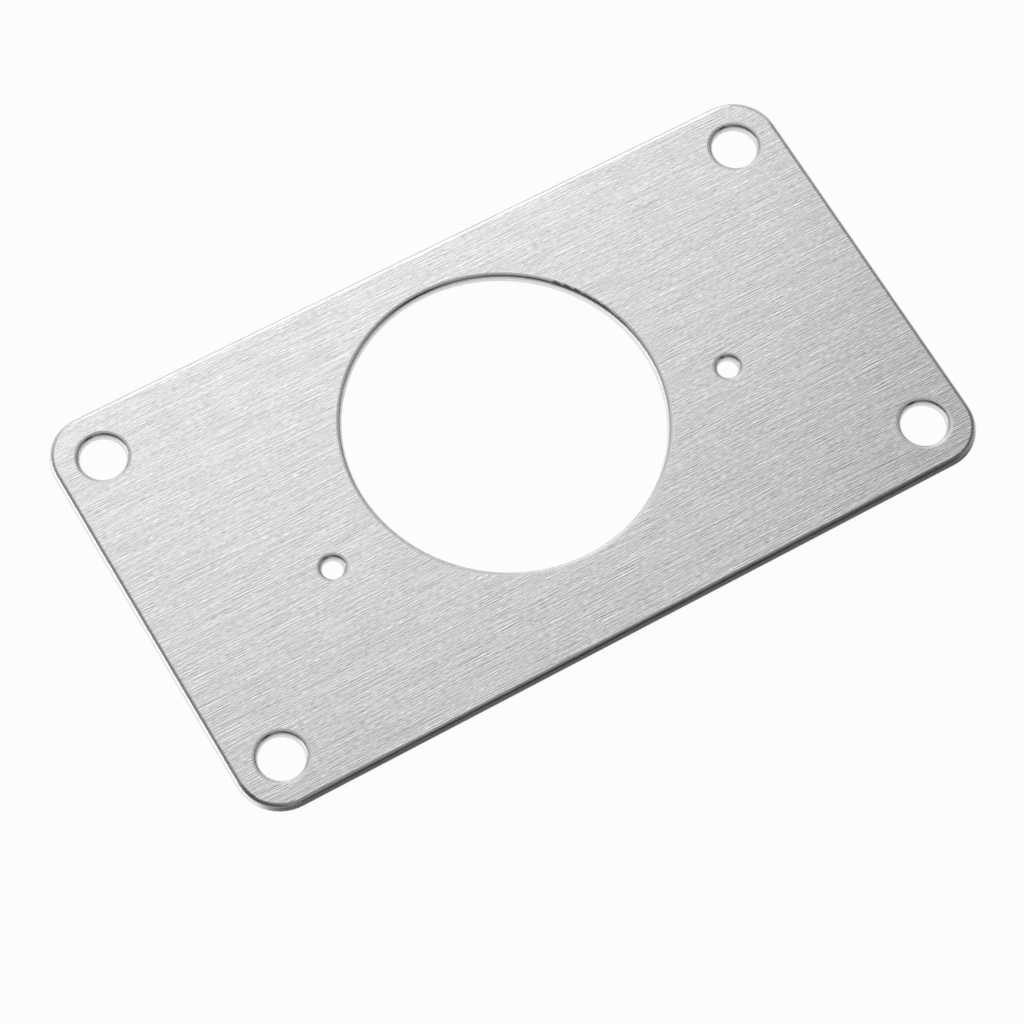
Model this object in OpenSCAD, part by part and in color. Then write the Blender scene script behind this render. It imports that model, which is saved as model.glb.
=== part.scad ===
// Hinge repair plate: one piece of brushed stainless steel sheet, cut out with a punch.
// It bridges the torn-out chipboard round a cabinet hinge. The hinge's cup drops through the
// large hole, the hinge's two flange screws go in the small holes, and the four corner holes
// take new wood screws. The plate lies flat, with its underside on z = 0, and the edges that
// the punch entered, and so rolled over, face up.

/* [Plate] */
// Length of the plate, along X
plate_l = 90; // [84:0.5:120]
// Width of the plate, along Y
plate_w = 50; // [47:0.5:70]
// Thickness of the sheet
sheet_t = 1; // [0.9:0.05:2]
// Radius of the four rounded corners
corner_r = 5; // [3:0.25:8]

/* [Cup hole] */
// Diameter of the hole that the hinge's cup passes through
cup_d = 35; // [34:0.1:36]
// Width of the strip left between the cup hole and the plate's far long edge
cup_strip = 5; // [4:0.25:6]

/* [Screw holes] */
// Diameter of the corner holes, for wood screws
corner_hole_d = 5; // [4:0.1:5.6]
// Distance from a corner hole's centre to each of the two edges beside it
corner_hole_inset = 5.5; // [5:0.1:6]
// Diameter of the two holes for the hinge's flange screws
flange_hole_d = 2.3; // [2:0.1:3.2]
// Distance between the two flange holes, centre to centre
flange_pitch = 49; // [45:0.5:52]
// Distance from the cup hole's centre back to the line of the flange holes
flange_setback = 6; // [5:0.5:9.5]

/* [Edges] */
// Radius of the shoulder that the punch rolls over on every upper edge
roll_r = 0.6; // [0.3:0.05:0.7]
// Radius that tumbling leaves on every lower edge
break_r = 0.1; // [0.05:0.05:0.15]

/* [Hidden] */
$fn = 96;
// How far a cutter runs past the metal
overrun = 1;
// The cup hole's centre, counted back from the far long edge
cup_y = plate_w / 2 - cup_strip - cup_d / 2;
// The line of the two flange holes
flange_y = cup_y - flange_setback;
// The corner holes' distance from the plate's middle, along X and along Y
corner_hole_x = plate_l / 2 - corner_hole_inset;
corner_hole_y = plate_w / 2 - corner_hole_inset;
// The centres of the four corner arcs, along X and along Y
arc_x = plate_l / 2 - corner_r;
arc_y = plate_w / 2 - corner_r;

// What a quarter round about the origin leaves of the square corner beyond it, up and to the right
module corner_waste(r) {
    difference() {
        square(r + overrun);
        circle(r);
    }
}

// Section through the sheet beside a cut edge: the wall stands at x = reach, under the rolled
// shoulder, and the metal runs back to x = 0. The outline and every hole are cut to this section.
module edge_section(reach) {
    difference() {
        square([reach, sheet_t]);
        translate([reach - roll_r, sheet_t - roll_r]) corner_waste(roll_r);
        translate([reach - break_r, break_r]) mirror([0, 1]) corner_waste(break_r);
    }
}

// A straight run of that section, from x = 0 out to x = reach, centred along Y
module edge_strip(reach, length) {
    translate([0, length / 2, 0])
        rotate([90, 0, 0])
            linear_extrude(length) edge_section(reach);
}

// A quarter turn of it, for one rounded corner, towards +X and +Y of the arc's centre
module edge_corner() {
    rotate_extrude(angle = 90) edge_section(corner_r);
}

// The sheet without its holes. Two wide strips meet along the middle, and each end has a narrow
// strip between two corners.
module blank() {
    for (side = [0, 180])
        rotate([0, 0, side]) {
            rotate([0, 0, 90]) edge_strip(plate_w / 2, 2 * arc_x);
            translate([arc_x, 0, 0]) edge_strip(corner_r, 2 * arc_y);
            translate([arc_x, arc_y, 0]) edge_corner();
            translate([-arc_x, arc_y, 0]) rotate([0, 0, 90]) edge_corner();
        }
}

// What the punch takes out for a round hole of radius r: all that the section round it leaves free
module hole_waste(r) {
    rotate_extrude()
        difference() {
            translate([0, -overrun]) square([r + roll_r, sheet_t + 2 * overrun]);
            translate([r + roll_r + overrun, 0]) mirror([1, 0]) edge_section(roll_r + overrun);
        }
}

module plate() {
    color([0.80, 0.80, 0.80])
        difference() {
            blank();
            translate([0, cup_y, 0]) hole_waste(cup_d / 2);
            for (x = [-1, 1], y = [-1, 1])
                translate([x * corner_hole_x, y * corner_hole_y, 0]) hole_waste(corner_hole_d / 2);
            for (x = [-1, 1])
                translate([x * flange_pitch / 2, flange_y, 0]) hole_waste(flange_hole_d / 2);
        }
}

plate();
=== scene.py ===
# %% [markdown]
# # A hinge repair plate in brushed stainless steel
# The object is one flat sheet of steel, 90 x 50 mm. A punch cut its outline and its holes out of
# a strip that had been brushed along its length. So the picture lives on three things: the fine
# streaks of the brushing, the soft shoulder that the punch rolled over on every upper edge, and
# the rougher metal on the walls under that shoulder.
#
# The solid comes ready from the CAD file, with its true rounded edges. This lesson loads it, sets
# up the camera, gives the steel its finish and puts it on a pale floor in soft light.

# %% Load the plate
import math

import bpy
from mathutils import Matrix, Vector


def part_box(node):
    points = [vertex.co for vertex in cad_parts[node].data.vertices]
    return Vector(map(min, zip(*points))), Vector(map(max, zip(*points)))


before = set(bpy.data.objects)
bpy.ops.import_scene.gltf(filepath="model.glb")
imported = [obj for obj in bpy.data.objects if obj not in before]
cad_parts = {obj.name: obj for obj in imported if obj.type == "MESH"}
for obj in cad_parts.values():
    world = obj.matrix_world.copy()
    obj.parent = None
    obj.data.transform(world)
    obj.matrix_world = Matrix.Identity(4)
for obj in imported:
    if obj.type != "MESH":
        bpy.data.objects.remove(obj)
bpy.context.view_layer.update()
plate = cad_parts["plate"]
plate_low, plate_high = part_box("plate")
print("plate, in mm:", [round(1000 * side, 2) for side in plate_high - plate_low])

# %% [markdown]
# ## Sizes in millimetres
# Blender works in metres, while a plate like this is thought of in millimetres. One small constant
# keeps every number below readable.

# %% The millimetre
MM = 0.001

# %% [markdown]
# ## The camera
# The plate is seen from high up and from its near left side, through a long lens, so its edges
# stay almost parallel. A camera is easiest to describe by where its eye is, what it looks at, and
# how far it is tilted about its own line of sight. `to_track_quat` turns the first two into a
# rotation, and a turn about the camera's own Z adds the tilt.

# %% Place the camera
EYE = Vector((-113.64, -152.32, 389.69)) * MM
AIM = Vector((-4.758, -7.086, 1.0)) * MM
TILT = math.radians(7.167)
SENSOR_WIDTH = 36.0
LENS = 142.33

camera_data = bpy.data.cameras.new("camera")
camera_data.sensor_width = SENSOR_WIDTH
camera_data.lens = LENS
camera_data.dof.use_dof = False
camera = bpy.data.objects.new("camera", camera_data)
bpy.context.scene.collection.objects.link(camera)
look = (AIM - EYE).to_track_quat("-Z", "Y").to_matrix().to_4x4()
camera.matrix_world = Matrix.Translation(EYE) @ look @ Matrix.Rotation(TILT, 4, "Z")
bpy.context.scene.camera = camera
print("camera stands", round((AIM - EYE).length / MM), "mm from the plate")

# %% [markdown]
# ## Two helpers for materials
# Colours are written as the hex codes that a picture editor shows. Those are sRGB values, and
# Blender's shaders work with linear light, so one function converts them. A second function adds a
# node, fills in its settings and joins its inputs, which keeps each material short enough to read
# from top to bottom. An input is given by its name, or by its number after an underscore where
# several inputs share one name.
#
# A smooth step, which fades from one value to another without a visible start or end, is used many
# times below, so its setting gets a name too.

# %% Colour and node helpers
SMOOTH = {"interpolation_type": "SMOOTHSTEP"}
WHITE = (1.0, 1.0, 1.0, 1.0)


def linear(hex_code):
    """The linear colour, with alpha 1, of an sRGB hex code such as #C8C8C8."""
    channels = [int(hex_code[i : i + 2], 16) / 255 for i in (1, 3, 5)]
    lights = [c / 12.92 if c <= 0.04045 else ((c + 0.055) / 1.055) ** 2.4 for c in channels]
    return (*lights, 1.0)


def add_node(tree, kind, settings=None, **inputs):
    """Adds a node. Settings are its own properties, and inputs are values or sockets to join."""
    node = tree.nodes.new(kind)
    for name, value in (settings or {}).items():
        setattr(node, name, value)
    for name, value in inputs.items():
        key = int(name[1:]) if name[0] == "_" and name[1:].isdigit() else name.replace("_", " ")
        if isinstance(value, bpy.types.NodeSocket):
            tree.links.new(value, node.inputs[key])
        else:
            node.inputs[key].default_value = value
    return node


def new_material(name):
    """An empty material with only its output node."""
    material = bpy.data.materials.new(name)
    material.use_nodes = True
    material.node_tree.nodes.clear()
    output = material.node_tree.nodes.new("ShaderNodeOutputMaterial")
    return material, material.node_tree, output


# %% [markdown]
# ## Brushed stainless steel
# The sheet was brushed with an abrasive belt that ran along its length. The belt leaves thousands
# of short, shallow scratches, all nearly parallel to X. To the eye that gives three things: light
# and dark hairlines a millimetre to a few millimetres long and less than a tenth of one wide,
# broad soft patches where the belt pressed harder, and a shine that smears across the scratches.
#
# A noise texture squeezed hard along Y and stretched along X draws scratches. Several of them with
# different lengths stop the pattern from looking ruled.

# %% Scratch patterns
FINER_SHARE = 0.6
steel, tree, output = new_material("brushed stainless steel")
place = add_node(tree, "ShaderNodeTexCoord").outputs["Object"]


def scratches(length_mm, width_mm, detail, shift):
    """Noise whose grains are about length_mm along X and width_mm along Y and Z."""
    scale = (1 / (length_mm * MM), 1 / (width_mm * MM), 1 / (width_mm * MM))
    mapped = add_node(tree, "ShaderNodeMapping", Vector=place, Scale=scale, Location=shift)
    noise = add_node(
        tree,
        "ShaderNodeTexNoise",
        Vector=mapped.outputs["Vector"],
        Scale=1.0,
        Detail=detail,
        Roughness=FINER_SHARE,
    )
    return noise.outputs["Fac"]


fine = scratches(length_mm=5.0, width_mm=0.040, detail=1.0, shift=(0.0, 0.0, 0.0))
short = scratches(length_mm=0.7, width_mm=0.040, detail=0.0, shift=(31.0, 7.0, 3.0))
broad = scratches(length_mm=9.0, width_mm=0.6, detail=2.0, shift=(5.0, 17.0, 9.0))
ridges = scratches(length_mm=4.5, width_mm=0.085, detail=0.0, shift=(2.0, 11.0, 5.0))

# %% [markdown]
# Three of the patterns are added up and tint the metal: the broad one only shifts the tone a
# little, while the fine ones carry the contrast. The fourth, the ridges, will be real relief, so
# its hairlines flash brightest where the light changes fastest.

# %% Add the patterns up
BROAD_SHARE = 0.25
both = add_node(
    tree, "ShaderNodeMath", {"operation": "ADD"}, _0=fine, _1=short
).outputs["Value"]
grain = add_node(
    tree, "ShaderNodeMath", {"operation": "MULTIPLY_ADD"}, _0=broad, _1=BROAD_SHARE, _2=both
).outputs["Value"]
print("steel has", len(tree.nodes), "nodes so far")

# %% [markdown]
# ## Faces and walls
# The punch burnishes the top of each cut wall and tears the metal below. So a wall is rougher than
# a face. The Z of the surface's own direction tells them apart: it is 1 or -1 on a face, which
# points up or down, and near 0 on a wall, which points sideways.

# %% Tell walls from faces
WALL_FROM, WALL_FULL = 0.72, 0.55
facing = add_node(tree, "ShaderNodeNewGeometry").outputs["Normal"]
upward = add_node(tree, "ShaderNodeSeparateXYZ", Vector=facing).outputs["Z"]
flatness = add_node(
    tree, "ShaderNodeMath", {"operation": "ABSOLUTE"}, _0=upward
).outputs["Value"]
wall = add_node(
    tree, "ShaderNodeMapRange", SMOOTH, Value=flatness, From_Min=WALL_FROM, From_Max=WALL_FULL
).outputs["Result"]

# %% [markdown]
# The walls of the two long sides get a darker colour, a painted shade, and the walls of the ends
# and the holes get a near-white one, painted light. The long sides are found by their distance
# from the middle line.

# %% Find the long sides, which get painted shade
LONG_SIDE_FROM, LONG_SIDE_FULL = 2.5 * MM, 0.2 * MM
half_width = plate_high.y
sideways = add_node(tree, "ShaderNodeSeparateXYZ", Vector=place).outputs["Y"]
sideways = add_node(
    tree, "ShaderNodeMath", {"operation": "ABSOLUTE"}, _0=sideways
).outputs["Value"]
long_side_shade_mask = add_node(
    tree,
    "ShaderNodeMapRange",
    SMOOTH,
    Value=sideways,
    From_Min=half_width - LONG_SIDE_FROM,
    From_Max=half_width - LONG_SIDE_FULL,
).outputs["Result"]

# %% [markdown]
# In the holes, the returning punch rubs over the rolled shoulder and leaves it matt. The shoulder
# also gets a lighter colour, a painted highlight that thins its dark rim. A point belongs to a
# hole's shoulder when it leans, isn't yet steep, and lies well inside the outline.
# The distance to a rounded rectangle takes four vector steps: fold all four quarters into one,
# step back to the corner arc's centre, drop what is negative, and measure what is left.

# %% Find the shoulders of the holes
CORNER_ARC = 5.0 * MM
INSIDE_FROM, INSIDE_FULL = 0.8 * MM, 1.2 * MM
LEAN_FROM, LEAN_FULL = 0.999, 0.990
STEEP_UNTIL, STEEP_CLEAR = 0.86, 0.94

# The Z of 1 metre lies far above the plate, so the height always drops out
arc_centre = (plate_high.x - CORNER_ARC, plate_high.y - CORNER_ARC, 1.0)
folded = add_node(
    tree, "ShaderNodeVectorMath", {"operation": "ABSOLUTE"}, _0=place
).outputs["Vector"]
folded = add_node(
    tree, "ShaderNodeVectorMath", {"operation": "SUBTRACT"}, _0=folded, _1=arc_centre
).outputs["Vector"]
folded = add_node(
    tree, "ShaderNodeVectorMath", {"operation": "MAXIMUM"}, _0=folded, _1=(0.0, 0.0, 0.0)
).outputs["Vector"]
from_arc = add_node(
    tree, "ShaderNodeVectorMath", {"operation": "LENGTH"}, _0=folded
).outputs["Value"]
well_inside = add_node(
    tree,
    "ShaderNodeMapRange",
    SMOOTH,
    Value=from_arc,
    From_Min=CORNER_ARC - INSIDE_FROM,
    From_Max=CORNER_ARC - INSIDE_FULL,
).outputs["Result"]
leaning = add_node(
    tree, "ShaderNodeMapRange", SMOOTH, Value=flatness, From_Min=LEAN_FROM, From_Max=LEAN_FULL
).outputs["Result"]
not_yet_steep = add_node(
    tree, "ShaderNodeMapRange", SMOOTH, Value=flatness, From_Min=STEEP_UNTIL, From_Max=STEEP_CLEAR
).outputs["Result"]
hole_lip_matt_and_highlight = leaning
for mask in (not_yet_steep, well_inside):
    hole_lip_matt_and_highlight = add_node(
        tree, "ShaderNodeMath", {"operation": "MULTIPLY"}, _0=hole_lip_matt_and_highlight, _1=mask
    ).outputs["Value"]

# %% [markdown]
# ## The steel's shader
# Bare metal has no colour of its own under the shine: all that it sends back is reflection.
# Metallic is 1 on the faces, the colour is the reflection's tint, and the default IOR stays.
# Rubbed and torn metal scatters light in every direction, which a lower Metallic and a higher
# Roughness stand for.
#
# Noise averages a half, so the grain averages half of all its shares. The tone is 1 there, and
# swings by the same amount to both sides.

# %% Colours
# The lip colour is a painted highlight on the shoulders of the holes.
FACE, LIP_HIGHLIGHT = linear("#CDCDCD"), linear("#F0F0F0")
# The first wall colour is painted light on the ends and hole walls, and the second is painted
# shade on the long sides.
LIT_PUNCHED_WALL, SHADED_LONG_WALL = linear("#F2F2F2"), linear("#868686")
GRAIN_MIDDLE = 0.5 * (1 + 1 + BROAD_SHARE)
GRAIN_SWING, TONE_SWING = 0.5, 0.40

tone = add_node(
    tree,
    "ShaderNodeMapRange",
    {"clamp": False},
    Value=grain,
    From_Min=GRAIN_MIDDLE - GRAIN_SWING,
    From_Max=GRAIN_MIDDLE + GRAIN_SWING,
    To_Min=1 - TONE_SWING,
    To_Max=1 + TONE_SWING,
).outputs["Result"]
face_colour = add_node(
    tree, "ShaderNodeVectorMath", {"operation": "SCALE"}, Vector=FACE[:3], Scale=tone
).outputs["Vector"]

# A Mix node has sockets for every kind of data. Its colours are inputs 6 and 7, and output 2.
COLOUR_MIX, MIXED_COLOUR = {"data_type": "RGBA"}, 2
# The wall colour is painted: lighter on the ends and in the holes, darker on the long sides as
# painted shade.
lit_and_shaded_wall_colour = add_node(
    tree, "ShaderNodeMix", COLOUR_MIX, _0=long_side_shade_mask, _6=LIT_PUNCHED_WALL, _7=SHADED_LONG_WALL
).outputs[MIXED_COLOUR]
# The shoulders of the holes get their painted highlight here.
top_colour = add_node(
    tree, "ShaderNodeMix", COLOUR_MIX, _0=hole_lip_matt_and_highlight, _6=face_colour, _7=LIP_HIGHLIGHT
).outputs[MIXED_COLOUR]
colour = add_node(
    tree, "ShaderNodeMix", COLOUR_MIX, _0=wall, _6=top_colour, _7=lit_and_shaded_wall_colour
).outputs[MIXED_COLOUR]

# %% [markdown]
# Map Range nodes read their masks from 0 to 1 and give back how rough and how metallic each kind
# of surface is. The last one takes its two ends from the two before it.

# %% Roughness and Metallic
SMOOTH_STEEL, RUBBED_STEEL = 0.20, 0.55
FACE_METAL, LIP_METAL = 1.0, 0.5
PUNCHED_METAL, LONG_METAL = 0.9, 0.1

rubbed = add_node(
    tree, "ShaderNodeMath", {"operation": "MAXIMUM"}, _0=wall, _1=hole_lip_matt_and_highlight
).outputs["Value"]
roughness = add_node(
    tree, "ShaderNodeMapRange", Value=rubbed, To_Min=SMOOTH_STEEL, To_Max=RUBBED_STEEL
).outputs["Result"]
top_metal = add_node(
    tree, "ShaderNodeMapRange", Value=hole_lip_matt_and_highlight, To_Min=FACE_METAL, To_Max=LIP_METAL
).outputs["Result"]
wall_metal = add_node(
    tree, "ShaderNodeMapRange", Value=long_side_shade_mask, To_Min=PUNCHED_METAL, To_Max=LONG_METAL
).outputs["Result"]
metal_share = add_node(
    tree, "ShaderNodeMapRange", Value=wall, To_Min=top_metal, To_Max=wall_metal
).outputs["Result"]

# %% [markdown]
# Anisotropic smears the shine, along the tangent that is plugged in. Scratches along X smear it
# across them, and the cross product of the surface's own direction with X gives that way, also
# on the rolled edges. The small lift in both vectors keeps it from vanishing where a wall faces
# along X.

# %% The shader
ALONG_SCRATCHES = (1.0, 0.0, 0.35)
LIFT = (0.0, 0.0, 0.05)
RIDGE_HEIGHT = 0.012 * MM
SMEAR = 0.4

across = add_node(
    tree, "ShaderNodeVectorMath", {"operation": "CROSS_PRODUCT"}, _0=facing, _1=ALONG_SCRATCHES
).outputs["Vector"]
across = add_node(
    tree, "ShaderNodeVectorMath", {"operation": "ADD"}, _0=across, _1=LIFT
).outputs["Vector"]
relief = add_node(
    tree, "ShaderNodeBump", Height=ridges, Strength=1.0, Distance=RIDGE_HEIGHT
).outputs["Normal"]
shader = add_node(
    tree,
    "ShaderNodeBsdfPrincipled",
    Base_Color=colour,
    Metallic=metal_share,
    Roughness=roughness,
    Anisotropic=SMEAR,
    Tangent=across,
    Normal=relief,
)
tree.links.new(shader.outputs["BSDF"], output.inputs["Surface"])

plate.data.materials.clear()
plate.data.materials.append(steel)
print("plate wears", plate.data.materials[0].name)

# %% [markdown]
# ## The floor
# The plate lies on a plain white sheet. To the camera and to reflections the floor is white by its
# own glow. It keeps a share of ordinary matt shading, so the plate's soft shadow still falls on
# it. Light Path tells which kind of ray is looking.

# %% Make the floor
FLOOR_SIZE = 3.0
GLOWING_SHARE = 0.96
floor_material, floor_tree, floor_output = new_material("matt white paper")
path = add_node(floor_tree, "ShaderNodeLightPath")
seen = path.outputs["Is Camera Ray"]
for ray in ("Is Glossy Ray", "Is Transmission Ray"):
    seen = add_node(
        floor_tree, "ShaderNodeMath", {"operation": "MAXIMUM"}, _0=seen, _1=path.outputs[ray]
    ).outputs["Value"]
glow_share = add_node(
    floor_tree, "ShaderNodeMath", {"operation": "MULTIPLY"}, _0=seen, _1=GLOWING_SHARE
).outputs["Value"]
paper = add_node(floor_tree, "ShaderNodeBsdfDiffuse", Color=linear("#FAFAFA"))
glow = add_node(floor_tree, "ShaderNodeEmission", Color=WHITE, Strength=1.0)
mixed = add_node(
    floor_tree,
    "ShaderNodeMixShader",
    _0=glow_share,
    _1=paper.outputs["BSDF"],
    _2=glow.outputs["Emission"],
)
floor_tree.links.new(mixed.outputs["Shader"], floor_output.inputs["Surface"])

bpy.ops.mesh.primitive_plane_add(size=FLOOR_SIZE, location=(0.0, 0.0, plate_low.z))
floor = bpy.context.active_object
floor.name = "floor"
floor.data.transform(floor.matrix_world)
floor.matrix_world = Matrix.Identity(4)
floor.data.materials.append(floor_material)

# %% [markdown]
# ## Soft studio light
# Polished and brushed metal is a picture of the room around it, so a metal object is lit by
# designing the room. This one is painted into the world, from the direction that a ray leaves in:
# X, Y and Z of that direction run from -1 to 1.
#
# Smooth steps make it up. A large lit screen fills the far side up to a little short of straight
# overhead, and its soft upper edge is what fades across the face. The rest of the room is about a
# quarter as bright, and a dark flag stands on the near side, which the rolled near edge picks up
# as its dark line. The left of the room is dark higher up and paler lower down. On the right, a
# dark gap parts the screen from a pale wall, which brightens towards the near side.
#
# Some of these steps don't run straight along an axis, so they follow a slanting direction: one
# axis plus a share of the other.

# %% Start the world and its slanting directions
world = bpy.data.worlds.new("studio")
world.use_nodes = True
bpy.context.scene.world = world
sky = world.node_tree
sky.nodes.clear()
direction = add_node(sky, "ShaderNodeTexCoord").outputs["Generated"]
compass = add_node(sky, "ShaderNodeSeparateXYZ", Vector=direction).outputs

slanting = {}
for name, axis, share, other_axis in (
    ("flag", "X", 0.32, "Y"),
    ("screen", "Y", -0.10, "X"),
    ("gap", "X", -0.2, "Y"),
    ("near right", "X", -0.45, "Y"),
):
    slanting[name] = add_node(
        sky,
        "ShaderNodeMath",
        {"operation": "MULTIPLY_ADD"},
        _0=compass[other_axis],
        _1=share,
        _2=compass[axis],
    ).outputs["Value"]

# %% [markdown]
# Each row below is one smooth step: the direction that it follows, where it starts and ends, and
# the value before and after it. The flag and the screen are levels of light, the next four
# multiply that light, and the last two together add a little light low on the left.

# %% The steps
FLAG_LEVEL, ROOM_LEVEL, SCREEN_LEVEL = 0.03, 0.45, 1.26
steps = {}
for name, way, start, end, before, after in (
    ("flag", compass["Y"], -1.0, -0.4, FLAG_LEVEL, ROOM_LEVEL),
    ("screen", slanting["screen"], 0.235, 0.38, 0.0, SCREEN_LEVEL),
    ("left side", compass["X"], -0.45, 0.28, 0.22, 1.0),
    ("gap", slanting["gap"], 0.285, 0.355, 1.0, 0.28),
    ("pale wall", compass["X"], 0.42, 0.57, 1.0, 1.6),
    ("near right", slanting["near right"], 0.80, 0.95, 1.0, 1.9),
    ("low", compass["Z"], 0.60, 0.36, 0.0, 1.0),
    ("low left", compass["X"], 0.0, -0.5, 0.0, 0.4),
):
    steps[name] = add_node(
        sky,
        "ShaderNodeMapRange",
        SMOOTH,
        Value=way,
        From_Min=start,
        From_Max=end,
        To_Min=before,
        To_Max=after,
    ).outputs["Result"]

# %% [markdown]
# The flag is a narrow upright band. Beside it, the room goes back to its plain level.

# %% Put the room together
FLAG_SIDE, FLAG_END = 0.12, 0.32
beside_flag = add_node(
    sky, "ShaderNodeMath", {"operation": "ABSOLUTE"}, _0=slanting["flag"]
).outputs["Value"]
room = add_node(
    sky,
    "ShaderNodeMapRange",
    SMOOTH,
    Value=beside_flag,
    From_Min=FLAG_SIDE,
    From_Max=FLAG_END,
    To_Min=steps["flag"],
    To_Max=ROOM_LEVEL,
).outputs["Result"]
light_level = add_node(
    sky, "ShaderNodeMath", {"operation": "ADD"}, _0=room, _1=steps["screen"]
).outputs["Value"]
for name in ("left side", "gap", "pale wall", "near right"):
    light_level = add_node(
        sky, "ShaderNodeMath", {"operation": "MULTIPLY"}, _0=light_level, _1=steps[name]
    ).outputs["Value"]
light_level = add_node(
    sky,
    "ShaderNodeMath",
    {"operation": "MULTIPLY_ADD"},
    _0=steps["low"],
    _1=steps["low left"],
    _2=light_level,
).outputs["Value"]
background = add_node(sky, "ShaderNodeBackground", Color=WHITE, Strength=light_level)
sky_output = sky.nodes.new("ShaderNodeOutputWorld")
sky.links.new(background.outputs["Background"], sky_output.inputs["Surface"])

# %% [markdown]
# One long, low softbox stands on the left, just above the floor. It draws the bright line along
# the plate's left edge and lights the walls that face it. A lamp's power grows with its area, so
# the power is worked out from how bright the box should look.

# %% Stand a softbox on the left
BOX_WIDTH, BOX_HEIGHT = 1.4, 0.30
BOX_RADIANCE = 2.2
STAND = Vector((-1.33, 0.43, 0.16))
lamp = bpy.data.lights.new("left softbox", "AREA")
lamp.shape = "RECTANGLE"
lamp.size = BOX_WIDTH
lamp.size_y = BOX_HEIGHT
lamp.energy = BOX_RADIANCE * math.pi * BOX_WIDTH * BOX_HEIGHT
softbox = bpy.data.objects.new("left softbox", lamp)
bpy.context.scene.collection.objects.link(softbox)
towards_plate = (-STAND).to_track_quat("-Z", "Y").to_matrix().to_4x4()
softbox.matrix_world = Matrix.Translation(STAND) @ towards_plate
print("softbox gives", round(lamp.energy, 2), "W")

bpy.context.scene.view_settings.view_transform = "Standard"
